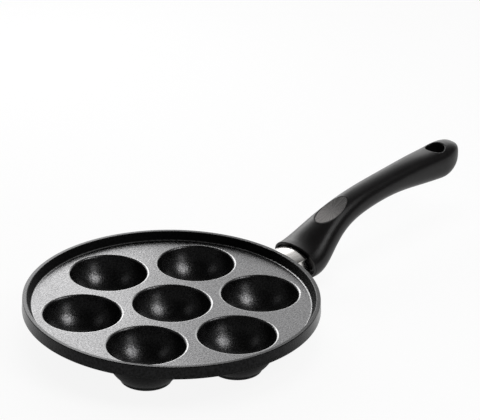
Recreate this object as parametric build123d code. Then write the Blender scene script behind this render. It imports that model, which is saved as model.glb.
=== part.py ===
from build123d import *
import math
import os

# An aebleskiver pan: a cast pan with seven round wells and a moulded handle.
# All sizes are in millimetres and all angles in degrees. The origin is at the pan's centre on the
# plane that the feet stand on. X runs out along the handle and Z is up.

# Pan casting: plate and rim, with heights taken from the land, the flat top between the wells
pan_diameter = 231.4
plate_thickness = 4.0
rim_height = 6.3
rim_skirt = 3.7
rim_top_width = 3.2
rim_inner_lean = 3.4
rim_outer_lean = 0.5
rim_edge_radius = 0.6
rim_foot_radius = 1.2

# Pan casting: the wells, each a spherical cup with a bulge and a round foot under it
ring_well_count = 6
ring_radius = 71.0
well_mouth_diameter = 60.6
well_depth = 25.2
well_floor = 4.0
well_edge_radius = 2.0
bulge_diameter = 63.5
bulge_centre_drop = 2.2
bulge_root_radius = 2.2
foot_diameter = 40.0
foot_edge_radius = 1.2
foot_neck_radius = 1.0

# Pan casting: the boss that carries the handle, and its spigot
boss_reach = 4.3
boss_length = 35.0
fairing_shares = (0.0, 0.26, 0.52, 0.77, 1.0)
fairing_width_shares = (1.5, 1.42, 1.22, 1.05, 1.0)
fairing_height_shares = (0.1, 0.34, 0.72, 0.94, 1.0)
spigot_length = 22.0
spigot_clearance = 0.15
tapped_depth = 21.0
drill_point_angle = 118.0

# Ferrule: a bright sleeve with a crowned top and nearly upright sides
ferrule_length = 30.0
ferrule_wall = 0.8
ferrule_width = 30.0
ferrule_base_width = 28.4
ferrule_axis_height = 18.8
ferrule_top_rise = 10.9
ferrule_shoulder_rise = 6.4
ferrule_base_drop = 7.0
ferrule_bottom_drop = 9.0
ferrule_shoulder_radius = 0.8
ferrule_base_radius = 3.5

# Handle: sections square to a curved centre line, from the front face to the tail. A fullness of 2
# makes a section an ellipse, and more makes it squarer.
handle_front_reach = 23.3
handle_length = 189.6
handle_front_height = 18.0
handle_rise = 34.4
handle_front_tilt = 10.0
station_shares = (0.0, 0.085, 0.195, 0.346, 0.517, 0.698, 0.863)
rise_shares = (0.0, 0.148, 0.541, 0.834, 0.965, 1.0, 0.98)
section_heights = (29.0, 28.4, 23.6, 21.2, 21.0, 24.2, 26.6)
section_widths = (45.8, 42.0, 31.0, 24.2, 22.8, 24.4, 27.0)
section_fullness = (2.2, 2.2, 2.2, 2.2, 2.2, 2.4, 2.9)
section_point_count = 20
tail_height = 27.6
tail_width = 27.4
tail_slope = 2.0
tail_lift = 5.8
tail_roundness = 2.4
tail_turns = (22.0, 42.0, 58.0, 70.0, 80.0)
front_edge_radius = 0.5
mouth_wall = 2.0
mouth_depth = 4.0
socket_depth = 8.0
socket_clearance = 0.15

# Hanging hole through the tail
hang_hole_diameter = 16.0
hang_hole_inset = 24.0
hang_hole_edge_radius = 1.0

# Thumb rest: a shallow dished facet on the handle's top, with a soft oval pad let into it
rest_setback = 40.8
rest_depth = 2.5
rest_slope = 20.3
rest_dish_radius = 116.0
pad_length = 34.2
pad_width = 18.0
pad_thickness = 2.0
pad_gap = 0.12
pad_edge_radius = 0.3

# Handle screw with its washers, driven from the curve under the handle into the boss
screw_diameter = 5.0
screw_length = 35.0
screw_head_diameter = 9.5
screw_head_height = 3.6
screw_head_edge_radius = 1.4
screw_tip_chamfer = 0.6
recess_span = 5.4
recess_slot_width = 1.2
recess_depth = 2.2
recess_point_span = 2.6
recess_point_width = 0.8
lock_washer_diameter = 9.0
lock_washer_thickness = 1.2
lock_washer_split = 0.8
lock_washer_split_angle = 20.0
flat_washer_diameter = 10.0
flat_washer_thickness = 1.0
washer_bore_clearance = 0.2
thread_clearance = 0.04
shank_hole_clearance = 0.3
seat_wall = 7.0
counterbore_clearance = 0.6
counterbore_edge_radius = 0.5

# Every cut runs this far past the material
overrun = 20.0

# Derived places
pan_radius = pan_diameter / 2
land_height = well_depth + well_floor
rim_top = land_height + rim_height
plate_underside = land_height - plate_thickness
boss_end = pan_radius + boss_reach
spigot_end = boss_end + spigot_length
ferrule_end = boss_end + ferrule_length
handle_front = pan_radius + handle_front_reach
handle_tip = handle_front + handle_length
seat_face = ferrule_end + seat_wall
head_seat = seat_face + flat_washer_thickness + lock_washer_thickness


def round_corner(outline, place, radius):
    """Round the corner of an outline that lies at a place in its own plane."""
    corner = outline.vertices().sort_by_distance((*place, 0))[0]
    fillet(corner, radius)


def along_x(sketch, x_from, x_to):
    """Carry a section drawn on the YZ plane from one X to another."""
    start = Plane.YZ.offset(x_from)
    return extrude(start * sketch, amount=x_to - x_from)


def disc_along_x(radius, x_from, x_to):
    """A round bar along the screw's axis."""
    section = Pos(0, ferrule_axis_height) * Circle(radius)
    return along_x(section, x_from, x_to)


def plate_and_rim():
    """The round plate with its raised rim and short skirt, turned from one outline."""
    skirt_out = pan_radius
    skirt_low = land_height - rim_skirt
    top_out = skirt_out - rim_outer_lean
    top_in = top_out - rim_top_width
    foot_in = top_in - rim_inner_lean
    with BuildPart() as turned:
        with BuildSketch(Plane.XZ) as outline:
            with BuildLine():
                Polyline(
                    (0, plate_underside),
                    (skirt_out - plate_thickness, plate_underside),
                    (skirt_out, skirt_low),
                    (top_out, rim_top),
                    (top_in, rim_top),
                    (foot_in, land_height),
                    (0, land_height),
                    close=True,
                )
            make_face()
            round_corner(outline, (top_out, rim_top), rim_edge_radius)
            round_corner(outline, (top_in, rim_top), rim_edge_radius)
            round_corner(outline, (skirt_out, skirt_low), rim_edge_radius)
            round_corner(outline, (foot_in, land_height), rim_foot_radius)
        revolve(axis=Axis.Z)
    return turned.part


def well_cup():
    """The space inside one well, with the eased edge of its mouth."""
    mouth = well_mouth_diameter / 2
    lip = mouth + 2 * well_edge_radius
    cup_radius = (mouth**2 + well_depth**2) / (2 * well_depth)
    cup_centre = land_height - well_depth + cup_radius
    mouth_angle = math.degrees(math.atan2(land_height - cup_centre, mouth))
    middle_angle = math.radians((mouth_angle - 90) / 2)
    middle = (cup_radius * math.cos(middle_angle), cup_centre + cup_radius * math.sin(middle_angle))
    with BuildPart() as turned:
        with BuildSketch(Plane.XZ) as outline:
            with BuildLine():
                ThreePointArc((0, well_floor), middle, (mouth, land_height))
                Polyline(
                    (mouth, land_height),
                    (lip, land_height),
                    (lip, land_height + overrun),
                    (0, land_height + overrun),
                    (0, well_floor),
                )
            make_face()
            round_corner(outline, (mouth, land_height), well_edge_radius)
        revolve(axis=Axis.Z)
    return turned.part


def well_bulge():
    """The solid under one well: a spherical bulge that ends in a short round foot."""
    radius = bulge_diameter / 2
    centre = land_height - bulge_centre_drop
    foot = foot_diameter / 2
    root = math.sqrt(radius**2 - (plate_underside - centre) ** 2)
    neck = centre - math.sqrt(radius**2 - foot**2)
    neck_angle = math.atan2(neck - centre, foot)
    root_angle = math.atan2(plate_underside - centre, root)
    middle_angle = (neck_angle + root_angle) / 2
    middle = (radius * math.cos(middle_angle), centre + radius * math.sin(middle_angle))
    plate_middle = plate_underside + plate_thickness / 2
    flange = root + 2 * bulge_root_radius
    with BuildPart() as turned:
        with BuildSketch(Plane.XZ) as outline:
            with BuildLine():
                Polyline((0, plate_middle), (0, 0), (foot, 0), (foot, neck))
                ThreePointArc((foot, neck), middle, (root, plate_underside))
                Polyline(
                    (root, plate_underside),
                    (flange, plate_underside),
                    (flange, plate_middle),
                    (0, plate_middle),
                )
            make_face()
            round_corner(outline, (foot, 0), foot_edge_radius)
            round_corner(outline, (foot, neck), foot_neck_radius)
            round_corner(outline, (root, plate_underside), bulge_root_radius)
        revolve(axis=Axis.Z)
    return turned.part


def well_places():
    """The centre well, then the ring with the handle midway between two of its wells."""
    step = 360 / ring_well_count
    places = [Pos(0, 0, 0)]
    for index in range(ring_well_count):
        angle = math.radians(step * (index + 0.5))
        places.append(Pos(ring_radius * math.cos(angle), ring_radius * math.sin(angle), 0))
    return places


def ferrule_section(inset=0.0):
    """The ferrule's section on the YZ plane, drawn in from its outside by an inset."""
    axis = ferrule_axis_height
    half_width = ferrule_width / 2
    half_base = ferrule_base_width / 2
    with BuildSketch() as section:
        with BuildLine():
            ThreePointArc(
                (-half_width, axis + ferrule_shoulder_rise),
                (0, axis + ferrule_top_rise),
                (half_width, axis + ferrule_shoulder_rise),
            )
            Line(
                (half_width, axis + ferrule_shoulder_rise),
                (half_base, axis - ferrule_base_drop),
            )
            ThreePointArc(
                (half_base, axis - ferrule_base_drop),
                (0, axis - ferrule_bottom_drop),
                (-half_base, axis - ferrule_base_drop),
            )
            Line(
                (-half_base, axis - ferrule_base_drop),
                (-half_width, axis + ferrule_shoulder_rise),
            )
        make_face()
        rows = section.vertices().group_by(Axis.Y)
        fillet(rows[-1], ferrule_shoulder_radius)
        fillet(section.vertices().group_by(Axis.Y)[0], ferrule_base_radius)
        if inset:
            offset(amount=-inset, kind=Kind.ARC)
    return section.sketch


def handle_boss():
    """The boss, faired out of the plate's underside, with the spigot that enters the ferrule."""
    section = ferrule_section()
    top = ferrule_axis_height + ferrule_top_rise
    stations = zip(fairing_shares, fairing_width_shares, fairing_height_shares)
    sections = []
    for share, width_share, height_share in stations:
        lowered = Pos(0, -top) * section
        shaped = Pos(0, top) * scale(lowered, by=(width_share, height_share, 1))
        plane = Plane.YZ.offset(boss_end - boss_length * (1 - share))
        sections.append((plane * shaped).face())
    spigot_section = ferrule_section(ferrule_wall + spigot_clearance)
    return loft(sections) + along_x(spigot_section, boss_end, spigot_end)


def tapped_hole():
    """The blind threaded hole in the spigot's end, at the thread's outer diameter."""
    radius = screw_diameter / 2 + thread_clearance
    floor = spigot_end - tapped_depth
    bar = disc_along_x(radius, floor, spigot_end + overrun)
    point = radius / math.tan(math.radians(drill_point_angle / 2))
    with BuildPart() as cone:
        Cone(radius, 0, point, align=(Align.CENTER, Align.CENTER, Align.MIN))
    tip = Pos(floor, 0, ferrule_axis_height) * Rot(0, -90, 0) * cone.part
    return bar + tip


def pan_body():
    body = plate_and_rim() + handle_boss()
    for place in well_places():
        body += place * well_bulge()
    for place in well_places():
        body -= place * well_cup()
    return body - tapped_hole()


def ferrule():
    outside = along_x(ferrule_section(), boss_end, ferrule_end)
    inside = along_x(ferrule_section(ferrule_wall), boss_end - overrun, ferrule_end + overrun)
    return outside - inside


def rounded_power(value, power):
    """A signed power, for the outline of a full rounded section."""
    return math.copysign(abs(value) ** power, value)


def handle_section(centre, tilt, height, width, fullness):
    """One closed section of the handle, square to a centre line that climbs at the tilt."""
    power = 2 / fullness
    climb = math.radians(tilt)
    along = Vector(math.cos(climb), 0, math.sin(climb))
    plane = Plane(origin=centre, x_dir=(0, 1, 0), z_dir=along)
    points = []
    for index in range(section_point_count):
        turn = 2 * math.pi * index / section_point_count
        across = width / 2 * rounded_power(math.cos(turn), power)
        upward = height / 2 * rounded_power(math.sin(turn), power)
        points.append((across, upward))
    with BuildSketch(plane) as section:
        with BuildLine():
            Spline(*points, periodic=True)
        make_face()
    return section.sketch.face()


def handle_blank():
    """The handle's outer form, from the front face to the rounded tail."""
    places = []
    for share, rise in zip(station_shares, rise_shares):
        x = handle_front + handle_length * share
        z = handle_front_height + handle_rise * rise
        places.append((x, 0, z))
    front = math.radians(handle_front_tilt)
    tail = math.radians(tail_slope)
    spine = Spline(
        *places,
        tangents=[(math.cos(front), 0, math.sin(front)), (math.cos(tail), 0, math.sin(tail))],
    )
    sections = []
    for place, height, width, fullness in zip(places, section_heights, section_widths, section_fullness):
        along = spine.tangent_at(spine.param_at_point(place))
        tilt = math.degrees(math.atan2(along.Z, along.X))
        sections.append(handle_section(place, tilt, height, width, fullness))
    tail_x = places[-1][0]
    tail_z = places[-1][2]
    tail_reach = handle_tip - tail_x
    for turn in tail_turns:
        share = math.sin(math.radians(turn))
        ease = (1 - share**tail_roundness) ** (1 / tail_roundness)
        centre = (tail_x + tail_reach * share, 0, tail_z + tail_lift * share**2)
        height = tail_height * ease
        width = tail_width * ease
        sections.append(handle_section(centre, tail_slope, height, width, section_fullness[-1]))
    sections.append(Vertex(handle_tip, 0, tail_z + tail_lift))
    return loft(sections)


def crown_height(solid, x):
    """The height of a solid's top above the point X on the middle plane."""
    plumb = Edge.make_line((x, 0, -overrun), (x, 0, handle_tip))
    inside = solid.intersect(plumb)
    return max(piece.bounding_box().max.Z for piece in inside)


def rest_plane(blank):
    """The plane that touches the thumb rest's dish at its middle, with its X along the handle."""
    slope = math.radians(rest_slope)
    middle_x = handle_front + rest_setback
    middle = (middle_x, 0, crown_height(blank, middle_x) - rest_depth)
    along = (math.cos(slope), 0, math.sin(slope))
    outward = (-math.sin(slope), 0, math.cos(slope))
    return Plane(origin=middle, x_dir=along, z_dir=outward)


def rest_dish(plane):
    """The round bar across the handle whose underside is the dished facet."""
    bar = Cylinder(rest_dish_radius, max(section_widths) + overrun)
    return plane * Pos(0, 0, rest_dish_radius) * Rot(90, 0, 0) * bar


def pad_prism(plane, gap):
    """The pad's oval outline, run up through the facet from the pocket's floor."""
    outline = Pos(0, 0, -pad_thickness) * Ellipse(pad_length / 2 + gap, pad_width / 2 + gap)
    return extrude(plane * outline, amount=pad_thickness + overrun)


def thumb_pad(plane):
    pad = pad_prism(plane, 0) - rest_dish(plane)
    upper = pad.faces().sort_by(Axis(plane.origin, plane.z_dir))[-1]
    return fillet(upper.edges(), pad_edge_radius)


def front_mouth():
    """The hollow in the handle's front face that the ferrule enters through."""
    place = (handle_front, 0, handle_front_height)
    height = section_heights[0] - 2 * mouth_wall
    width = section_widths[0] - 2 * mouth_wall
    section = handle_section(place, handle_front_tilt, height, width, section_fullness[0])
    return extrude(section, amount=mouth_depth) + extrude(section, amount=-overrun)


def ease_bore_mouths(solid, bore_radius, edge_radius, from_x):
    """Round the curved mouths of the bore of one radius that lie beyond an X."""
    mouths = []
    for face in solid.faces().filter_by(GeomType.CYLINDER):
        if math.isclose(face.radius, bore_radius):
            mouths += [edge for edge in face.edges() if edge.geom_type != GeomType.LINE]
    return fillet([edge for edge in mouths if edge.center().X > from_x], edge_radius)


def handle_grip(blank, plane):
    """The moulded handle: the outer form with its mouth, socket, screw way, rest and hole."""
    front = blank.faces().sort_by(Axis.X)[0]
    grip = fillet(front.edges(), front_edge_radius)
    grip -= front_mouth()
    socket_section = ferrule_section(-socket_clearance)
    grip -= along_x(socket_section, boss_end, ferrule_end)
    shank_way = screw_diameter / 2 + shank_hole_clearance
    grip -= disc_along_x(shank_way, boss_end, seat_face + overrun)
    head_way = flat_washer_diameter / 2 + counterbore_clearance
    grip -= disc_along_x(head_way, seat_face, handle_tip)
    grip -= rest_dish(plane)
    grip -= pad_prism(plane, pad_gap)
    hole = Cylinder(hang_hole_diameter / 2, handle_tip)
    grip -= Pos(handle_tip - hang_hole_inset, 0, 0) * hole
    grip = ease_bore_mouths(grip, hang_hole_diameter / 2, hang_hole_edge_radius, ferrule_end)
    return ease_bore_mouths(grip, head_way, counterbore_edge_radius, head_seat)


def handle_screw():
    """The pan-head screw that draws the handle and the ferrule on to the boss."""
    tip = head_seat - screw_length
    shank = disc_along_x(screw_diameter / 2, tip, head_seat)
    shank = chamfer(shank.edges().group_by(Axis.X)[0], screw_tip_chamfer)
    head = disc_along_x(screw_head_diameter / 2, head_seat, head_seat + screw_head_height)
    head = fillet(head.edges().group_by(Axis.X)[-1], screw_head_edge_radius)
    screw = shank + head
    top = Plane.YZ.offset(head_seat + screw_head_height)
    floor = Plane.YZ.offset(head_seat + screw_head_height - recess_depth)
    axis = Pos(0, ferrule_axis_height)
    for turn in (0, 90):
        mouth = axis * Rot(0, 0, turn) * Rectangle(recess_span, recess_slot_width)
        point = axis * Rot(0, 0, turn) * Rectangle(recess_point_span, recess_point_width)
        screw -= loft([(floor * point).face(), (top * mouth).face()])
    return screw


def washer(diameter, thickness, face):
    """A plain ring on the screw, lying on a face at X."""
    bore = screw_diameter / 2 + washer_bore_clearance
    ring = disc_along_x(diameter / 2, face, face + thickness)
    return ring - disc_along_x(bore, face, face + thickness)


def lock_washer():
    """The spring washer, pressed flat under the head, with its slanted split."""
    face = seat_face + flat_washer_thickness
    ring = washer(lock_washer_diameter, lock_washer_thickness, face)
    split = Box(lock_washer_diameter, lock_washer_split, lock_washer_diameter / 2)
    lifted = Pos(0, 0, lock_washer_diameter / 4) * Rot(0, 0, lock_washer_split_angle) * split
    middle = Pos(face + lock_washer_thickness / 2, 0, ferrule_axis_height)
    return ring - middle * lifted


def main():
    os.makedirs("parts", exist_ok=True)
    blank = handle_blank()
    plane = rest_plane(blank)
    nodes = {
        "pan_body": pan_body(),
        "ferrule": ferrule(),
        "handle_grip": handle_grip(blank, plane),
        "thumb_pad": thumb_pad(plane),
        "handle_screw": handle_screw(),
        "lock_washer": lock_washer(),
        "flat_washer": washer(flat_washer_diameter, flat_washer_thickness, seat_face),
    }
    for name, shape in nodes.items():
        print(name, len(shape.solids()), shape.is_valid, round(shape.volume))
        export_step(shape, f"parts/{name}.step")


main()
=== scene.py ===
"""Looks for the aebleskiver pan: materials, floor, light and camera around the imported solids."""
import math

import bpy
from mathutils import Matrix, Vector

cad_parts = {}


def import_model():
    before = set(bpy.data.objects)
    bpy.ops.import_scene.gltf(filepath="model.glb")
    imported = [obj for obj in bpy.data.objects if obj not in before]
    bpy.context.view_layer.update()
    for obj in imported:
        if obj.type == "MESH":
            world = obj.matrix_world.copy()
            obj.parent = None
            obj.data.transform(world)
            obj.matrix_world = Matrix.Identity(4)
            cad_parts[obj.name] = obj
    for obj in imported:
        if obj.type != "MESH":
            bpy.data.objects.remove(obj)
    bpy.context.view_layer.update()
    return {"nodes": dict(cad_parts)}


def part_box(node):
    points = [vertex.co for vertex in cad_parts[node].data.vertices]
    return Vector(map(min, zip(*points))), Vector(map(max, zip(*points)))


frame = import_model()

MM = 0.001

# Where things are on the pan, in metres
FERRULE_AXIS_HEIGHT = 18.8 * MM
PAD_LOW, PAD_HIGH = (Vector(corner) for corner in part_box("thumb_pad"))
PAD_MIDDLE = (PAD_LOW + PAD_HIGH) / 2

# Camera: a long lens over the front left of the pan
FRAME_WIDTH = 480
LENS_MM = 246.0
SENSOR_MM = 36.0
CAMERA_TARGET = Vector((154.92, 77.41, 29.2)) * MM
CAMERA_DISTANCE = 2.684
CAMERA_BACK = Vector((-0.6457, -0.6250, 0.4388)).normalized()
CAMERA_ROLL = math.radians(1.1093)
CAMERA_NUDGE_PX = (0.8, 0.5)

# The rings of the pan's inside: the flaked coat, with the rim's plain inner wall at its edge
COOKING_RADIUS = 111.8 * MM
COOKING_EASE = 0.5 * MM
WALL_INNER, WALL_OUTER = 108.6 * MM, 112.3 * MM
WALL_TOP_START, WALL_TOP_END = 34.9 * MM, 35.2 * MM

# Where the coat is made brighter to paint in highlight lines: on the lips of the wells, where it is partly
# a thinner coat on the edges, and along the foot of the rim
WELL_RING_RADIUS = 71.0 * MM
WELL_COUNT = 6
LIP_INNER, LIP_OUTER = 30.75 * MM, 31.96 * MM
FOOT_INNER, FOOT_OUTER = 107.7 * MM, 109.1 * MM
FOOT_BRIGHTNESS = 0.5
RING_EASE = 0.15 * MM

# How rough the pan is: satin where it is smooth, matt on the inner wall and the underside
SATIN_LOW, SATIN_HIGH = 0.23, 0.31
FILM_SPREAD = 0.02
MATT = 0.72

# Floor and room
FLOOR_SIZE = 6.0
FLOOR_COLOUR = (0.9, 0.9, 0.9, 1)
FLOOR_GLOW = 0.9
BACKDROP_HEIGHT = 0.05

# The bright wall and the glow over it, in a dim room: levels, and where each starts and is full, as shares
# of a direction's reach away from the camera, upwards, and towards the glow
ROOM_LEVEL = 0.08
WALL_LEVEL = 2.9
WALL_EDGE, WALL_FULL = 0.40, 0.78
ABOVE_LEVEL = 0.03
WALL_TOP, ABOVE_WALL = 0.48, 0.70
SPILL_LEVEL = 0.9
SPILL_EDGE = 0.70
SPILL_TOWARDS = Vector((0.65, 0.54, 0.54)).normalized()

# Lamps
LAMP_AIM = Vector((50, 0, 29)) * MM
SOFTBOXES = (
    # name, azimuth, elevation, distance, width, height, radiance
    ("softbox_right", -66.0, 49.0, 1.5, 0.65, 0.6, 4.6),
    ("strip_right", -86.0, 24.0, 1.5, 0.5, 0.5, 0.8),
    ("softbox_left", 143.0, 41.0, 1.5, 0.45, 0.45, 0.3),
    ("card_rear_left", 64.0, 27.0, 0.7, 0.3, 0.35, 3.4),
    ("ceiling_fill", 0.0, 88.0, 1.5, 1.0, 1.0, 2.4),
)


# Node helpers

def new_material(name):
    """A material with an empty node tree but for its output and one Principled shader."""
    material = bpy.data.materials.new(name)
    material.use_nodes = True
    tree = material.node_tree
    tree.nodes.clear()
    output = tree.nodes.new("ShaderNodeOutputMaterial")
    shader = tree.nodes.new("ShaderNodeBsdfPrincipled")
    tree.links.new(shader.outputs["BSDF"], output.inputs["Surface"])
    return material, tree, shader


def feed(tree, socket, value):
    """Link a socket, or set a plain value, on an input."""
    if isinstance(value, bpy.types.NodeSocket):
        tree.links.new(value, socket)
    else:
        socket.default_value = value


def position(tree):
    """The place on the surface, in metres in the part's own frame."""
    return tree.nodes.new("ShaderNodeTexCoord").outputs["Object"]


def mapped(tree, vector, scale=(1, 1, 1), location=(0, 0, 0)):
    """A vector scaled and then moved."""
    node = tree.nodes.new("ShaderNodeMapping")
    feed(tree, node.inputs["Vector"], vector)
    node.inputs["Scale"].default_value = scale
    node.inputs["Location"].default_value = location
    return node.outputs["Vector"]


def noise(tree, vector, scale, detail=2.0, roughness=0.5):
    node = tree.nodes.new("ShaderNodeTexNoise")
    feed(tree, node.inputs["Vector"], vector)
    node.inputs["Scale"].default_value = scale
    node.inputs["Detail"].default_value = detail
    node.inputs["Roughness"].default_value = roughness
    return node.outputs["Fac"]


def math_node(tree, operation, first, second=0.0, clamp=False):
    node = tree.nodes.new("ShaderNodeMath")
    node.operation = operation
    node.use_clamp = clamp
    feed(tree, node.inputs[0], first)
    feed(tree, node.inputs[1], second)
    return node.outputs[0]


def remap(tree, value, low, high, to_low, to_high, smooth=False):
    node = tree.nodes.new("ShaderNodeMapRange")
    if smooth:
        node.interpolation_type = "SMOOTHSTEP"
    feed(tree, node.inputs["Value"], value)
    node.inputs["From Min"].default_value = low
    node.inputs["From Max"].default_value = high
    feed(tree, node.inputs["To Min"], to_low)
    feed(tree, node.inputs["To Max"], to_high)
    return node.outputs["Result"]


def blend_colours(tree, share, first, second):
    node = tree.nodes.new("ShaderNodeMix")
    node.data_type = "RGBA"
    feed(tree, node.inputs["Factor"], share)
    feed(tree, node.inputs[6], first)
    feed(tree, node.inputs[7], second)
    return node.outputs[2]


def line_noise(tree, value, scale, detail=2.0, roughness=0.5):
    """Noise that varies with one value only."""
    node = tree.nodes.new("ShaderNodeTexNoise")
    node.noise_dimensions = "1D"
    feed(tree, node.inputs["W"], value)
    node.inputs["Scale"].default_value = scale
    node.inputs["Detail"].default_value = detail
    node.inputs["Roughness"].default_value = roughness
    return node.outputs["Fac"]


def bump(tree, height, strength, distance, normal=None):
    node = tree.nodes.new("ShaderNodeBump")
    node.inputs["Strength"].default_value = strength
    node.inputs["Distance"].default_value = distance
    feed(tree, node.inputs["Height"], height)
    if normal is not None:
        feed(tree, node.inputs["Normal"], normal)
    return node.outputs["Normal"]


def components(tree, vector):
    node = tree.nodes.new("ShaderNodeSeparateXYZ")
    feed(tree, node.inputs["Vector"], vector)
    return node.outputs["X"], node.outputs["Y"], node.outputs["Z"]


def vector_measure(tree, operation, vector, other):
    """A distance or a dot product between a vector and a fixed one."""
    node = tree.nodes.new("ShaderNodeVectorMath")
    node.operation = operation
    feed(tree, node.inputs[0], vector)
    node.inputs[1].default_value = other
    return node.outputs["Value"]


def distance_from_axis(tree, first, second):
    """How far a place is from an axis, from its two components square to it."""
    first_squared = math_node(tree, "MULTIPLY", first, first)
    second_squared = math_node(tree, "MULTIPLY", second, second)
    return math_node(tree, "SQRT", math_node(tree, "ADD", first_squared, second_squared))


def band(tree, value, low, high, ease=RING_EASE):
    """One between two values, with eased ends, and zero outside."""
    start = remap(tree, value, low, low + ease, 0.0, 1.0)
    end = remap(tree, value, high - ease, high, 1.0, 0.0)
    return math_node(tree, "MULTIPLY", start, end)


def distance_to_wells(tree, place):
    """How far a place is from the axis of the nearest well."""
    flat = mapped(tree, place, scale=(1, 1, 0))
    centres = [(0, 0, 0)]
    for index in range(WELL_COUNT):
        angle = 2 * math.pi * (index + 0.5) / WELL_COUNT
        centres.append((WELL_RING_RADIUS * math.cos(angle), WELL_RING_RADIUS * math.sin(angle), 0))
    nearest = None
    for centre in centres:
        reach = vector_measure(tree, "DISTANCE", flat, centre)
        nearest = reach if nearest is None else math_node(tree, "MINIMUM", nearest, reach)
    return nearest


# Materials

def pan_coating():
    """Non-stick coat on the casting: grained with metal flake inside, and plain black outside and on the
    rim's inner wall. The inner wall and the underside, which aren't machined, are matt."""
    material, tree, shader = new_material("pan_coating_look")
    place = position(tree)
    flake = noise(tree, place, 850, detail=2.0, roughness=0.6)
    grain = noise(tree, place, 620, detail=2.0, roughness=0.6)
    film = noise(tree, place, 35, detail=2.0)
    sparkle = blend_colours(tree, remap(tree, flake, 0.35, 0.65, 0.0, 1.0),
                            (0.046, 0.046, 0.047, 1), (0.126, 0.125, 0.127, 1))
    plain = blend_colours(tree, remap(tree, grain, 0.35, 0.65, 0.0, 1.0),
                          (0.008, 0.008, 0.008, 1), (0.016, 0.016, 0.0165, 1))

    # Where each look lies
    east, north, height = components(tree, place)
    radius = distance_from_axis(tree, east, north)
    _, _, upward = components(tree, tree.nodes.new("ShaderNodeNewGeometry").outputs["Normal"])
    within = remap(tree, radius, COOKING_RADIUS, COOKING_RADIUS - COOKING_EASE, 0.0, 1.0)
    facing_up = remap(tree, upward, 0.05, 0.2, 0.0, 1.0)
    below_top = remap(tree, height, WALL_TOP_END, WALL_TOP_START, 0.0, 1.0)
    wall = math_node(tree, "MULTIPLY", band(tree, radius, WALL_INNER, WALL_OUTER), below_top)
    machined = math_node(tree, "MULTIPLY", within, math_node(tree, "SUBTRACT", 1.0, wall))
    inside = math_node(tree, "MULTIPLY", machined, facing_up)
    under = remap(tree, upward, -0.05, -0.2, 0.0, 1.0)
    unmachined = math_node(tree, "MAXIMUM", wall, under)

    # Painted highlight: the lips of the wells and the foot of the rim get a brighter, more reflective
    # coat, so that bright lines show along them
    lips = band(tree, distance_to_wells(tree, place), LIP_INNER, LIP_OUTER)
    foot = math_node(tree, "MULTIPLY", band(tree, radius, FOOT_INNER, FOOT_OUTER), FOOT_BRIGHTNESS)
    bright = math_node(tree, "MAXIMUM", lips, foot)
    flake_with_painted_highlights = blend_colours(tree, bright, sparkle, (0.21, 0.21, 0.21, 1))
    feed(tree, shader.inputs["Base Color"], blend_colours(tree, inside, plain, flake_with_painted_highlights))
    shader.inputs["Metallic"].default_value = 1.0

    uneven = remap(tree, film, 0.3, 0.7, -FILM_SPREAD, FILM_SPREAD)
    satin = math_node(tree, "ADD", remap(tree, grain, 0.3, 0.7, SATIN_LOW, SATIN_HIGH), uneven)
    feed(tree, shader.inputs["Roughness"], remap(tree, unmachined, 0.0, 1.0, satin, MATT))
    fine = bump(tree, flake, 0.5, 0.00006)
    feed(tree, shader.inputs["Normal"], bump(tree, grain, 0.8, 0.00013, fine))
    return material


def ferrule_steel():
    """Polished steel sleeve with faint drawing lines along its length."""
    material, tree, shader = new_material("ferrule_steel_look")
    place = position(tree)
    lines = noise(tree, mapped(tree, place, scale=(25, 1500, 1500)), 1.0, detail=2.0)
    bands = noise(tree, mapped(tree, place, scale=(4, 420, 420)), 1.0, detail=2.0)
    tone = remap(tree, bands, 0.3, 0.7, 0.0, 1.0)
    feed(tree, shader.inputs["Base Color"],
         blend_colours(tree, tone, (0.70, 0.675, 0.65, 1), (0.84, 0.825, 0.805, 1)))
    shader.inputs["Metallic"].default_value = 1.0
    feed(tree, shader.inputs["Roughness"], remap(tree, lines, 0.3, 0.7, 0.15, 0.22))
    feed(tree, shader.inputs["Normal"], bump(tree, lines, 0.1, 0.00001))
    return material


def handle_plastic():
    """Black moulded plastic, satin, with a very fine moulded grain and faint handling marks."""
    material, tree, shader = new_material("handle_plastic_look")
    place = position(tree)
    grain = noise(tree, place, 1700, detail=2.0)
    marks = noise(tree, mapped(tree, place, scale=(60, 150, 150)), 1.0, detail=3.0)
    tone = remap(tree, grain, 0.3, 0.7, 0.0, 1.0)
    feed(tree, shader.inputs["Base Color"],
         blend_colours(tree, tone, (0.005, 0.0046, 0.0047, 1), (0.009, 0.0083, 0.0085, 1)))
    feed(tree, shader.inputs["Roughness"], remap(tree, marks, 0.3, 0.7, 0.29, 0.36))
    shader.inputs["Specular IOR Level"].default_value = 0.22
    feed(tree, shader.inputs["Normal"], bump(tree, grain, 0.3, 0.00003))
    return material


def pad_rubber():
    """Grey soft-touch pad, matt, with fine lines that fan out from its middle, and painted light and
    shade: lighter towards its end nearer the pan, darker towards the handle's tail.
    """
    material, tree, shader = new_material("pad_rubber_look")
    place = position(tree)
    flat = mapped(tree, place, location=tuple(-PAD_MIDDLE))
    along, across, _ = components(tree, flat)
    angle = math_node(tree, "ARCTAN2", across, along)
    fan = line_noise(tree, angle, 9.0, detail=4.0, roughness=0.7)
    grain = noise(tree, place, 1400, detail=2.0)
    mix = math_node(tree, "ADD", math_node(tree, "MULTIPLY", fan, 0.7),
                    math_node(tree, "MULTIPLY", grain, 0.3))
    # Painted light and shade: the pad's colour is lighter towards its end nearer the pan and darker
    # towards the tail
    painted_light_to_shade = remap(tree, along, -12 * MM, 12 * MM, 0.4, -0.4, smooth=True)
    tone = math_node(tree, "ADD", remap(tree, mix, 0.35, 0.65, 0.0, 1.0), painted_light_to_shade, clamp=True)
    feed(tree, shader.inputs["Base Color"],
         blend_colours(tree, tone, (0.035, 0.033, 0.032, 1), (0.195, 0.184, 0.180, 1)))
    shader.inputs["Roughness"].default_value = 0.62
    feed(tree, shader.inputs["Normal"], bump(tree, mix, 0.3, 0.00008))
    return material


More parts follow.
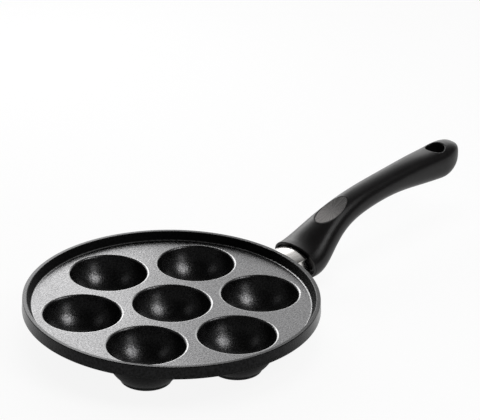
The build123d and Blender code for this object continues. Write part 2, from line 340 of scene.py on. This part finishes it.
def screw_steel():
    """Zinc-plated steel with rings left by turning."""
    material, tree, shader = new_material("screw_steel_look")
    place = position(tree)
    centred = mapped(tree, place, location=(0, 0, -FERRULE_AXIS_HEIGHT))
    _, side, up = components(tree, centred)
    rings = line_noise(tree, distance_from_axis(tree, side, up), 5000.0)
    stain = noise(tree, place, 500, detail=3.0)
    feed(tree, shader.inputs["Base Color"],
         blend_colours(tree, stain, (0.45, 0.45, 0.46, 1), (0.70, 0.70, 0.70, 1)))
    shader.inputs["Metallic"].default_value = 1.0
    feed(tree, shader.inputs["Roughness"], remap(tree, stain, 0.3, 0.7, 0.25, 0.42))
    feed(tree, shader.inputs["Normal"], bump(tree, rings, 0.3, 0.00003))
    return material


def dress(looks):
    """Give each solid of the part its material."""
    for node, material in looks.items():
        piece = frame["nodes"][node]
        if not piece.material_slots:
            piece.data.materials.append(material)
        for material_slot in piece.material_slots:
            material_slot.material = material


# Surroundings

def reflected_rays(tree):
    """One for rays that reach here by way of a gloss or through glass."""
    rays = tree.nodes.new("ShaderNodeLightPath")
    return math_node(tree, "MAXIMUM", rays.outputs["Is Glossy Ray"], rays.outputs["Is Transmission Ray"])


def floor():
    """A plain white floor that keeps a light shadow."""
    bpy.ops.mesh.primitive_plane_add(size=FLOOR_SIZE, location=(CAMERA_TARGET.x, CAMERA_TARGET.y, 0))
    plane = bpy.context.object
    plane.name = "floor"
    material = bpy.data.materials.new("floor_look")
    material.use_nodes = True
    tree = material.node_tree
    tree.nodes.clear()
    output = tree.nodes.new("ShaderNodeOutputMaterial")
    diffuse = tree.nodes.new("ShaderNodeBsdfDiffuse")
    diffuse.inputs["Color"].default_value = FLOOR_COLOUR
    glow = tree.nodes.new("ShaderNodeEmission")
    glow.inputs["Strength"].default_value = 1.0
    mix = tree.nodes.new("ShaderNodeMixShader")
    rays = tree.nodes.new("ShaderNodeLightPath")
    seen = math_node(tree, "MAXIMUM", rays.outputs["Is Camera Ray"], reflected_rays(tree))
    feed(tree, mix.inputs["Fac"], math_node(tree, "MULTIPLY", seen, FLOOR_GLOW))
    tree.links.new(diffuse.outputs["BSDF"], mix.inputs[1])
    tree.links.new(glow.outputs["Emission"], mix.inputs[2])
    tree.links.new(mix.outputs["Shader"], output.inputs["Surface"])
    plane.data.materials.append(material)


def world():
    """A bright wall behind the pan in a dim room, with the white backdrop low on the horizon, and white
    for the camera."""
    sky = bpy.data.worlds.new("studio")
    bpy.context.scene.world = sky
    sky.use_nodes = True
    tree = sky.node_tree
    tree.nodes.clear()
    output = tree.nodes.new("ShaderNodeOutputWorld")
    direction = tree.nodes.new("ShaderNodeTexCoord").outputs["Generated"]
    _, _, height = components(tree, direction)
    rearward = vector_measure(tree, "DOT_PRODUCT", direction, (-CAMERA_BACK.x, -CAMERA_BACK.y, 0))
    wall = remap(tree, rearward, WALL_EDGE, WALL_FULL, ROOM_LEVEL, WALL_LEVEL, smooth=True)
    wall = remap(tree, height, WALL_TOP, ABOVE_WALL, wall, ABOVE_LEVEL, smooth=True)
    over_wall = vector_measure(tree, "DOT_PRODUCT", direction, SPILL_TOWARDS)
    spill = remap(tree, over_wall, SPILL_EDGE, 1.0, 0.0, SPILL_LEVEL)
    level = math_node(tree, "MAXIMUM", wall, spill)
    light = tree.nodes.new("ShaderNodeBackground")
    feed(tree, light.inputs["Strength"], level)
    white = tree.nodes.new("ShaderNodeBackground")
    white.inputs["Color"].default_value = (1, 1, 1, 1)
    white.inputs["Strength"].default_value = 1.0
    mix = tree.nodes.new("ShaderNodeMixShader")
    backdrop = remap(tree, height, 0.0, BACKDROP_HEIGHT, 1.0, 0.0)
    mirrored = math_node(tree, "MULTIPLY", backdrop, reflected_rays(tree))
    rays = tree.nodes.new("ShaderNodeLightPath")
    feed(tree, mix.inputs["Fac"], math_node(tree, "MAXIMUM", rays.outputs["Is Camera Ray"], mirrored))
    tree.links.new(light.outputs["Background"], mix.inputs[1])
    tree.links.new(white.outputs["Background"], mix.inputs[2])
    tree.links.new(mix.outputs["Shader"], output.inputs["Surface"])


def softboxes():
    """Rectangular lamps that face the pan, each given by its direction and the brightness of its face.
    The ceiling's fill lights the pan, but no gloss reflects it."""
    for name, azimuth, elevation, distance, width, height, radiance in SOFTBOXES:
        turn = math.radians(azimuth)
        rise = math.radians(elevation)
        away = Vector((math.cos(turn) * math.cos(rise), math.sin(turn) * math.cos(rise), math.sin(rise)))
        lamp = bpy.data.lights.new(name, "AREA")
        lamp.shape = "RECTANGLE"
        lamp.size = width
        lamp.size_y = height
        lamp.energy = radiance * math.pi * width * height
        holder = bpy.data.objects.new(name, lamp)
        bpy.context.scene.collection.objects.link(holder)
        holder.location = LAMP_AIM + away * distance
        holder.rotation_euler = away.to_track_quat("Z", "Y").to_euler()
        holder.visible_camera = False
        holder.visible_glossy = name != "ceiling_fill"


def camera():
    """The photograph's view."""
    level_right = Vector((-CAMERA_BACK.y, CAMERA_BACK.x, 0)).normalized()
    level_up = CAMERA_BACK.cross(level_right)
    right = level_right * math.cos(CAMERA_ROLL) + level_up * math.sin(CAMERA_ROLL)
    up = -level_right * math.sin(CAMERA_ROLL) + level_up * math.cos(CAMERA_ROLL)
    pixel = CAMERA_DISTANCE * SENSOR_MM / LENS_MM / FRAME_WIDTH
    nudge = -right * CAMERA_NUDGE_PX[0] * pixel + up * CAMERA_NUDGE_PX[1] * pixel
    data = bpy.data.cameras.new("camera")
    data.lens = LENS_MM
    data.sensor_width = SENSOR_MM
    data.clip_end = 20.0
    holder = bpy.data.objects.new("camera", data)
    bpy.context.scene.collection.objects.link(holder)
    place = CAMERA_TARGET + CAMERA_BACK * CAMERA_DISTANCE + nudge
    turned = Matrix((right, up, CAMERA_BACK)).transposed()
    holder.matrix_world = Matrix.Translation(place) @ turned.to_4x4()
    bpy.context.scene.camera = holder


steel = screw_steel()
dress({
    "pan_body": pan_coating(),
    "ferrule": ferrule_steel(),
    "handle_grip": handle_plastic(),
    "thumb_pad": pad_rubber(),
    "handle_screw": steel,
    "lock_washer": steel,
    "flat_washer": steel,
})
floor()
world()
softboxes()
camera()

bpy.context.scene.view_settings.view_transform = "Standard"
